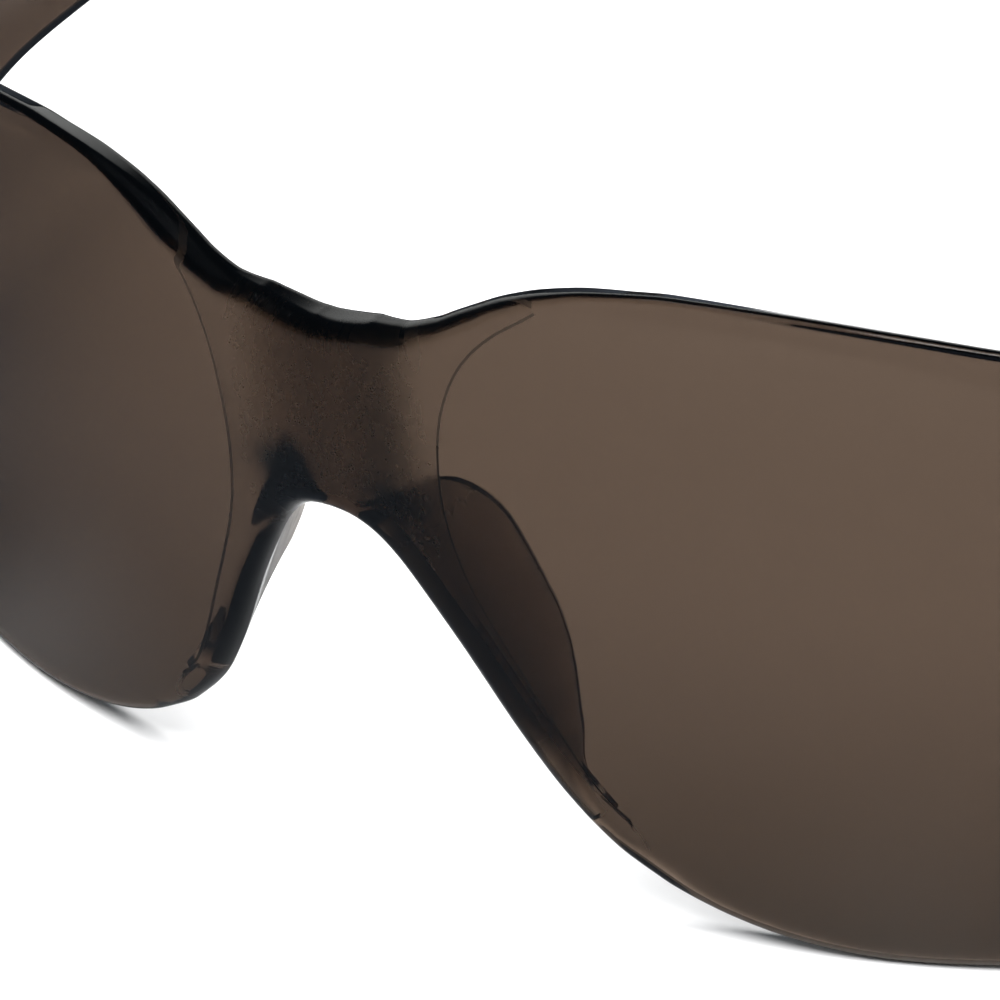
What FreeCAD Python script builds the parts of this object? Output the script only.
import FreeCAD, Part
import math
import os

# Safety glasses with a one-piece lens, two hinged arms with soft sleeves, and hinge screws.
# Millimetres, +Z up.  The front of the lens faces -Y, the arms run back along +Y and
# +X is the wearer's left.  Origin: middle of the footprint, on the plane the glasses rest on.
#
# Lens, arms and sleeves follow one curved surface.  A place on it is given by its arc length
# from the middle of the bridge (negative on the right), its height, and its depth behind
# the outer face.  "side" is +1 for left and -1 for right.

SIDES = {"left": 1, "right": -1}

# ---------------------------------------------------------------- guiding surface
# Horizontal section: (arc length, curvature), linear in between
CURVATURE = [(0, 1 / 57.04), (14, 1 / 107.6), (30, 1 / 73.44), (48, 1 / 60.1), (58, 1 / 49.0),
             (80, 1 / 45.0), (104, 0.0), (150, 0.0), (170, 0.0024), (230, 0.0024)]
SECTION_STEP = 0.25     # integration step along the section
SECTION_LENGTH = 210
TANGENT_HEIGHT = -11.98  # height at which the vertical section is tangent to the lean
VERTICAL_CURVATURE = 0.010108
CURVATURE_GROWTH = 1.4267e-4  # cubic term of the vertical section
LEAN = 0.21195          # forward lean of the lens, top towards the front
FADE_START = 70.0       # lean and vertical curve fade out between these arc lengths
FADE_END = 112.0
ORIGIN_Y = -74.9732     # place of the surface's own origin in the model
ORIGIN_Z = 42.306

# ---------------------------------------------------------------- lens dimensions
LENS_T = 2.2            # wall
BRIDGE_T = 3.0          # wall at the bridge
RIM_T = 2.4             # wall at the top rim
LENS_HALF = 75.0        # arc length from the middle of the bridge to the lens end

# Upper and lower edges of the lens: (arc length, height)
LENS_TOP = [
    (0, -2.0), (2.5, -1.6), (4.5, -0.95), (6.6, 0.0), (9, 1.3), (12, 2.85), (15, 3.72),
    (19, 4.25), (24, 4.42), (29, 4.3), (34, 3.95), (39, 3.4), (44, 2.6), (50, 1.2),
    (57, -1.1), (64, -4.0), (70, -6.6), (75, -8.7)]
LENS_BOTTOM = [
    (0, -14.0), (1.5, -14.2), (3, -15.0), (4.5, -16.7), (6, -19.3), (8, -23.2), (10, -27.5),
    (12, -31.3), (14, -34.4), (16, -36.6), (18, -38.15), (20.5, -39.45), (24, -40.75),
    (28, -41.65), (32, -42.15), (36, -42.3), (40, -42.25), (45, -41.8), (50, -40.9),
    (56, -39.4), (62, -37.5), (69, -35.2), (75, -33.6)]

# Nose wing: (height, arc length from the nose edge to the wing's back edge, depth of that edge)
WING = [(-14.9, 1.2, 4.2), (-17.0, 1.9, 6.2), (-19.5, 2.2, 7.9), (-22.0, 2.2, 8.1),
        (-25.0, 2.0, 7.5), (-28.0, 1.8, 6.6), (-31.0, 1.6, 4.9), (-33.5, 1.1, 3.2),
        (-35.4, 0.6, 2.0)]
WING_T = 1.5            # wall
WING_BACK_WIDTH = WING_T * 0.8   # arc length across the back edge
WING_ROOT_WIDTH = WING_T * 1.35  # arc length across the root
WING_ROOT_INSET = 0.25  # arc length from the nose edge to the root
WING_ROOT_DEPTH = 1.3   # root sits inside the lens wall
NOSE_LIMIT = 24.0       # the nose edge lies within this arc length

# ---------------------------------------------------------------- arm and sleeve dimensions
BUTT_GAP = 0.35         # arc length between the lens end and the arm
ARM_END = 179.5         # arc length at the end of the arm's core, inside the sleeve
SLEEVE_START = 152.0    # arc length where the sleeve starts
SLEEVE_END = 191.5      # arc length at the tip
ARM_T = 2.4             # wall at the front
ARM_T_REAR = 2.8        # wall just before the sleeve
CORE_INSET = 0.7        # how far the core steps in under the sleeve, each side
CORE_INSET_Z = 1.3      # the same, top and bottom
CORE_OVERLAP = 1.0      # how far the core starts inside the arm
SLEEVE_OUT = 0.35       # how far the sleeve stands proud of the arm
CORD_R = 1.25           # cord hole radius
CORD_ARC = 185.8        # arc length of the cord hole
CORD_CUT = 20           # length of the cutter, centred in the wall

# Upper and lower edges of the arm: (arc length, height)
ARM_TOP = [
    (75, -8.7), (80, -9.9), (88, -10.6), (98, -10.9), (112, -11.3), (128, -12.2),
    (142, -13.8), (152, -15.6), (164, -19.9), (175, -25.0), (186, -30.4), (197, -35.6)]
ARM_BOTTOM = [
    (75, -33.6), (82, -32.2), (90, -29.9), (98, -28.3), (104, -27.8), (112, -27.4),
    (124, -26.6), (136, -25.7), (147, -26.1), (158, -28.9), (170, -34.1), (180, -38.75),
    (189, -42.85), (197, -46.4)]

# ---------------------------------------------------------------- hinge dimensions
HINGE_IN = 5.9          # axis, inward from the outer face
HINGE_HEIGHT = -21.0    # middle of the hinge, as a surface height
EAR_R = 2.6             # outer radius of the ears and the knuckle
EAR_H = 3.0             # height of each of the lens's two ears
KNUCKLE_H = 7.0         # height of the arm's knuckle
HINGE_GAP = 0.15        # gap above and below the knuckle
KNUCKLE_CLEAR = 0.25    # radial room for the knuckle in the lens
EAR_CLEAR = 0.2         # radial and end room for the ears in the arm
EAR_ARCS = (67.5, 72.6)      # where the webs meet the wall: far from the hinge, near it
KNUCKLE_ARCS = (84.2, 79.5)
WEB_DEPTH = 1.0         # depth of the web's root in the wall

SCREW_R = 0.80          # shank
HOLE_R = 0.86           # running hole in the knuckle and the upper ear
HEAD_R = 1.55
HEAD_H = 0.9
HEAD_FILLET = 0.35
HEAD_OVERLAP = 0.2      # how far the shank runs up into the head
SHANK_RECESS = 0.3      # shank end above the underside of the lower ear
SLOT_LENGTH = 1.9       # two crossed slots in the head
SLOT_WIDTH = 0.34
SLOT_BOX_H = 0.5
SLOT_DEPTH = 0.45
SLOT_TURN = 22.0        # turn of the cross, mirrored between the sides

# ---------------------------------------------------------------- grids for the curved panels
# Arc lengths and levels (0 at the lower edge, 1 at the upper) of the interpolated points
HALF_LENS_ARCS = [1.5, 3, 4.5, 6, 8, 10, 12, 14, 16, 18, 20.5, 24, 28, 32, 36, 40, 45, 50,
                  56, 62, 69, LENS_HALF]
LENS_ARCS = [-arc for arc in reversed(HALF_LENS_ARCS)] + [0.0] + HALF_LENS_ARCS
LENS_LEVELS = [0.0, 0.08, 0.2, 0.33, 0.46, 0.6, 0.72, 0.82, 0.89, 0.93, 0.965, 1.0]
ARM_ARCS = [LENS_HALF + BUTT_GAP, 78, 82, 87, 93, 100, 108, 117, 126, 135, 143, 149,
            SLEEVE_START]
CORE_ARCS = [SLEEVE_START - CORE_OVERLAP, 155, 160, 166, 172, 176, ARM_END]
SLEEVE_ARCS = [SLEEVE_START, 155, 160, 166, 172, 177, 181, 184.5, 187, 189, 190.6, SLEEVE_END]
ARM_LEVELS = [0.0, 0.12, 0.3, 0.5, 0.7, 0.88, 1.0]


# ---------------------------------------------------------------- curves
def spline(points):
    """Cubic spline through the points: zero slope at the first, free end at the last."""
    xs, ys = zip(*points)
    n = len(xs)
    h = [xs[i + 1] - xs[i] for i in range(n - 1)]
    slope = [(ys[i + 1] - ys[i]) / h[i] for i in range(n - 1)]
    # tridiagonal system for the second derivatives
    below = [0.0] * n
    diagonal = [1.0] * n
    above = [0.0] * n
    right = [0.0] * n
    diagonal[0] = 2 * h[0]
    above[0] = h[0]
    right[0] = 6 * slope[0]
    for i in range(1, n - 1):
        below[i] = h[i - 1]
        diagonal[i] = 2 * (h[i - 1] + h[i])
        above[i] = h[i]
        right[i] = 6 * (slope[i] - slope[i - 1])
    for i in range(1, n):
        factor = below[i] / diagonal[i - 1]
        diagonal[i] -= factor * above[i - 1]
        right[i] -= factor * right[i - 1]
    bend = [0.0] * n
    bend[-1] = right[-1] / diagonal[-1]
    for i in range(n - 2, -1, -1):
        bend[i] = (right[i] - above[i] * bend[i + 1]) / diagonal[i]

    def value(x):
        i = 0
        while i < n - 2 and x > xs[i + 1]:
            i += 1
        after = x - xs[i]
        before = xs[i + 1] - x
        return ((bend[i] * before ** 3 + bend[i + 1] * after ** 3) / (6 * h[i])
                + (ys[i] / h[i] - bend[i] * h[i] / 6) * before
                + (ys[i + 1] / h[i] - bend[i + 1] * h[i] / 6) * after)
    return value


def smooth(x, start, end):
    """Smooth step from 0 at start to 1 at end."""
    t = min(max((x - start) / (end - start), 0.0), 1.0)
    return t * t * (3 - 2 * t)


def blend(low, high, level):
    return low * (1 - level) + high * level


def curvature(arc):
    for (arc_0, curv_0), (arc_1, curv_1) in zip(CURVATURE, CURVATURE[1:]):
        if arc <= arc_1:
            return curv_0 + (curv_1 - curv_0) * (arc - arc_0) / (arc_1 - arc_0)


def integrate_section():
    """(x, y, heading) at every step along the horizontal section."""
    stations = [(0.0, 0.0, 0.0)]
    for i in range(int(SECTION_LENGTH / SECTION_STEP)):
        x, y, heading = stations[-1]
        curv = curvature((i + 0.5) * SECTION_STEP)
        middle = heading + curv * SECTION_STEP / 2
        stations.append((x + math.cos(middle) * SECTION_STEP,
                         y + math.sin(middle) * SECTION_STEP,
                         heading + curv * SECTION_STEP))
    return stations


SECTION = integrate_section()
lens_top = spline(LENS_TOP)
lens_bottom = spline(LENS_BOTTOM)
arm_top = spline(ARM_TOP)
arm_bottom = spline(ARM_BOTTOM)


def section(arc):
    """(x, y, heading) of the horizontal section, always on the +X side."""
    steps = abs(arc) / SECTION_STEP
    i = int(steps)
    return tuple(blend(a, b, steps - i) for a, b in zip(SECTION[i], SECTION[i + 1]))


def surface_point(arc, height, depth, fade=None):
    """Model point; fade scales the lean and vertical curve, by default from the arc length."""
    x, y, heading = section(arc)
    if fade is None:
        fade = 1.0 - smooth(abs(arc), FADE_START, FADE_END)
    rise = height - TANGENT_HEIGHT
    sag = VERTICAL_CURVATURE * rise * rise / 2 + CURVATURE_GROWTH * rise ** 3
    inward = sag * fade + depth
    sign = -1.0 if arc < 0 else 1.0
    return FreeCAD.Vector(sign * (x - inward * math.sin(heading)),
                          y + inward * math.cos(heading) - LEAN * rise * fade + ORIGIN_Y,
                          height + ORIGIN_Z)


# ---------------------------------------------------------------- solids on the surface
def panel(arcs, levels, height, front, back, side=1):
    """Solid between two depths; height, front and back are functions of (arc, level)."""
    faces = []
    borders = []
    for depth in (front, back):
        surface = Part.BSplineSurface()
        surface.interpolate([[surface_point(side * arc, height(arc, level), depth(arc, level))
                              for level in levels] for arc in arcs])
        faces.append(surface.toShape())
        u0, u1, v0, v1 = surface.bounds()
        borders.append([surface.uIso(u0).toShape(), surface.uIso(u1).toShape(),
                        surface.vIso(v0).toShape(), surface.vIso(v1).toShape()])
    for front_edge, back_edge in zip(*borders):
        faces.append(Part.makeRuledSurface(front_edge, back_edge))
    shell = Part.makeShell(faces)
    shell.sewShape()
    # sewing may wrap the shell in a compound
    solid = Part.makeSolid(shell if shell.ShapeType == "Shell" else shell.Shells[0])
    if solid.Volume < 0:
        solid.reverse()
    if not solid.isValid():
        solid.fix(1e-4, 1e-4, 1e-3)
    return solid


def unwrap(shape):
    """The bare solid, where the shape holds just one."""
    return shape.Solids[0] if len(shape.Solids) == 1 else shape


# ---------------------------------------------------------------- hinge
# The axis is placed with the full lean and curve, without the fade
HINGE = surface_point(LENS_HALF, HINGE_HEIGHT, HINGE_IN, fade=1.0)
KNUCKLE_Z = HINGE.z - KNUCKLE_H / 2
LOWER_EAR_Z = KNUCKLE_Z - HINGE_GAP - EAR_H
UPPER_EAR_Z = HINGE.z + KNUCKLE_H / 2 + HINGE_GAP
HEAD_Z = UPPER_EAR_Z + EAR_H


def hinge_cylinder(side, radius, z, height):
    return Part.makeCylinder(radius, height, FreeCAD.Vector(side * HINGE.x, HINGE.y, z))


def tangent_point(point, centre, other):
    """Where a line from point touches the barrel, on the side away from other."""
    dx, dy = point.x - centre.x, point.y - centre.y
    angle = math.atan2(dy, dx)
    spread = math.acos(EAR_R / math.hypot(dx, dy))
    touches = [FreeCAD.Vector(centre.x + EAR_R * math.cos(a), centre.y + EAR_R * math.sin(a),
                              centre.z) for a in (angle + spread, angle - spread)]
    return max(touches, key=lambda touch: (touch - other).Length)


def lug(side, z, height, arcs):
    """A barrel round the axis and a web into the wall between two arc lengths."""
    centre = FreeCAD.Vector(side * HINGE.x, HINGE.y, z)
    roots = []
    for arc in arcs:
        root = surface_point(side * arc, z + height / 2 - ORIGIN_Z, WEB_DEPTH)
        roots.append(FreeCAD.Vector(root.x, root.y, z))
    far, near = roots
    outline = Part.makePolygon([far, near, tangent_point(near, centre, far), centre,
                                tangent_point(far, centre, near), far])
    web = Part.Face(outline).extrude(FreeCAD.Vector(0, 0, height))
    return hinge_cylinder(side, EAR_R, z, height).fuse(web)


# ---------------------------------------------------------------- lens
def lens_height(arc, level):
    return blend(lens_bottom(abs(arc)), lens_top(abs(arc)), level)


def lens_thickness(arc, level):
    """Thicker at the bridge and along the top rim; the rim fades towards the lens ends."""
    bridge = (BRIDGE_T - LENS_T) * (1 - smooth(abs(arc), 3.5, 10.0))
    rim = (RIM_T - LENS_T) * smooth(level, 0.90, 0.965) * (1 - smooth(abs(arc), 55, 72))
    return LENS_T + max(bridge, rim)


def nose_arc(height):
    """Arc length of the nose edge at a height, by bisection."""
    low, high = 0.0, NOSE_LIMIT
    for _ in range(40):
        middle = (low + high) / 2
        if lens_bottom(middle) > height:
            low = middle
        else:
            high = middle
    return (low + high) / 2


def make_wing(side):
    wires = []
    for height, back_offset, depth in WING:
        edge = nose_arc(height)
        root = edge + WING_ROOT_INSET
        back = edge + back_offset
        corners = [(root, WING_ROOT_DEPTH), (back, depth), (back + WING_BACK_WIDTH, depth),
                   (root + WING_ROOT_WIDTH, WING_ROOT_DEPTH), (root, WING_ROOT_DEPTH)]
        wires.append(Part.makePolygon([surface_point(side * arc, height, corner_depth)
                                       for arc, corner_depth in corners]))
    wing = Part.makeLoft(wires, True, False)
    if wing.Volume < 0:
        wing.reverse()
    return wing


def make_lens():
    body = panel(LENS_ARCS, LENS_LEVELS, lens_height, lambda arc, level: 0.0, lens_thickness)
    for side in (-1, 1):
        body = body.fuse([make_wing(side),
                          lug(side, LOWER_EAR_Z, EAR_H, EAR_ARCS),
                          lug(side, UPPER_EAR_Z, EAR_H, EAR_ARCS)])
    for side in (-1, 1):
        # room for the knuckle, then the screw's holes
        body = body.cut(hinge_cylinder(side, EAR_R + KNUCKLE_CLEAR, KNUCKLE_Z - HINGE_GAP,
                                       KNUCKLE_H + 2 * HINGE_GAP))
        body = body.cut(hinge_cylinder(side, HOLE_R, UPPER_EAR_Z - 1, EAR_H + 3))
        body = body.cut(hinge_cylinder(side, SCREW_R, LOWER_EAR_Z - 1, EAR_H + 1.5))
    return unwrap(body.removeSplitter())


# ---------------------------------------------------------------- arms
def arm_thickness(arc):
    return ARM_T + (ARM_T_REAR - ARM_T) * smooth(arc, 110, 150)


def arm_panel(side, arcs, inset, inset_z):
    """Length of arm, stepped in from its faces by inset and from its edges by inset_z."""
    return panel(arcs, ARM_LEVELS,
                 lambda arc, level: blend(arm_bottom(arc) + inset_z, arm_top(arc) - inset_z, level),
                 lambda arc, level: inset,
                 lambda arc, level: arm_thickness(arc) - inset, side)


def make_arm(side):
    main = arm_panel(side, ARM_ARCS, 0.0, 0.0)
    core = arm_panel(side, CORE_ARCS, CORE_INSET, CORE_INSET_Z)
    arm = main.fuse([core, lug(side, KNUCKLE_Z, KNUCKLE_H, KNUCKLE_ARCS)])
    # the arm's front edge clears the ears
    for z in (LOWER_EAR_Z - EAR_CLEAR, UPPER_EAR_Z - HINGE_GAP):
        arm = arm.cut(hinge_cylinder(side, EAR_R + EAR_CLEAR, z, EAR_H + EAR_CLEAR + HINGE_GAP))
    arm = arm.cut(hinge_cylinder(side, HOLE_R, KNUCKLE_Z - 1, KNUCKLE_H + 2))
    return unwrap(arm.removeSplitter())


# ---------------------------------------------------------------- sleeves
def sleeve_height(arc, level):
    low = arm_bottom(arc) - SLEEVE_OUT
    high = arm_top(arc) + SLEEVE_OUT
    # rounded tip, stopped short of closing to a point
    radius = (high - low) / 2
    along = min(max((arc - (SLEEVE_END - radius)) / radius, 0.0), 0.97)
    half = radius * math.sqrt(1 - along * along)
    middle = (low + high) / 2
    return blend(middle - half, middle + half, level)


def make_sleeve(side, arm):
    sleeve = panel(SLEEVE_ARCS, ARM_LEVELS, sleeve_height,
                   lambda arc, level: -SLEEVE_OUT,
                   lambda arc, level: ARM_T_REAR + SLEEVE_OUT, side)
    sleeve = sleeve.cut(arm)
    # cord hole, square to the wall
    height = (arm_top(CORD_ARC) + arm_bottom(CORD_ARC)) / 2
    centre = surface_point(side * CORD_ARC, height, ARM_T_REAR / 2)
    heading = section(CORD_ARC)[2]
    axis = FreeCAD.Vector(side * math.sin(heading), -math.cos(heading), 0)
    hole = Part.makeCylinder(CORD_R, CORD_CUT, centre - axis * (CORD_CUT / 2), axis)
    return unwrap(sleeve.cut(hole))


# ---------------------------------------------------------------- screws
def make_screw(side):
    shank_z = LOWER_EAR_Z + SHANK_RECESS
    shank = hinge_cylinder(side, SCREW_R, shank_z, HEAD_Z + HEAD_OVERLAP - shank_z)
    head = hinge_cylinder(side, HEAD_R, HEAD_Z, HEAD_H)
    head_top = HEAD_Z + HEAD_H
    rim = [edge for edge in head.Edges if abs(edge.BoundBox.ZMin - head_top) < 1e-6
           and abs(edge.BoundBox.ZMax - head_top) < 1e-6]
    screw = shank.fuse(head.makeFillet(HEAD_FILLET, rim))
    for angle in (0.0, 90.0):
        slot = Part.makeBox(SLOT_LENGTH, SLOT_WIDTH, SLOT_BOX_H,
                            FreeCAD.Vector(-SLOT_LENGTH / 2, -SLOT_WIDTH / 2, 0))
        slot.rotate(FreeCAD.Vector(0, 0, 0), FreeCAD.Vector(0, 0, 1), angle + SLOT_TURN * side)
        slot.translate(FreeCAD.Vector(side * HINGE.x, HINGE.y, head_top - SLOT_DEPTH))
        screw = screw.cut(slot)
    return unwrap(screw.removeSplitter())


# ---------------------------------------------------------------- build and export
parts = {"lens_shield": make_lens()}
for word, side in SIDES.items():
    arm = make_arm(side)
    parts["temple_" + word] = arm
    parts["temple_tip_" + word] = make_sleeve(side, arm)
    parts["hinge_screw_" + word] = make_screw(side)

os.makedirs("parts", exist_ok=True)
for name, shape in parts.items():
    shape.exportStep("parts/%s.step" % name)
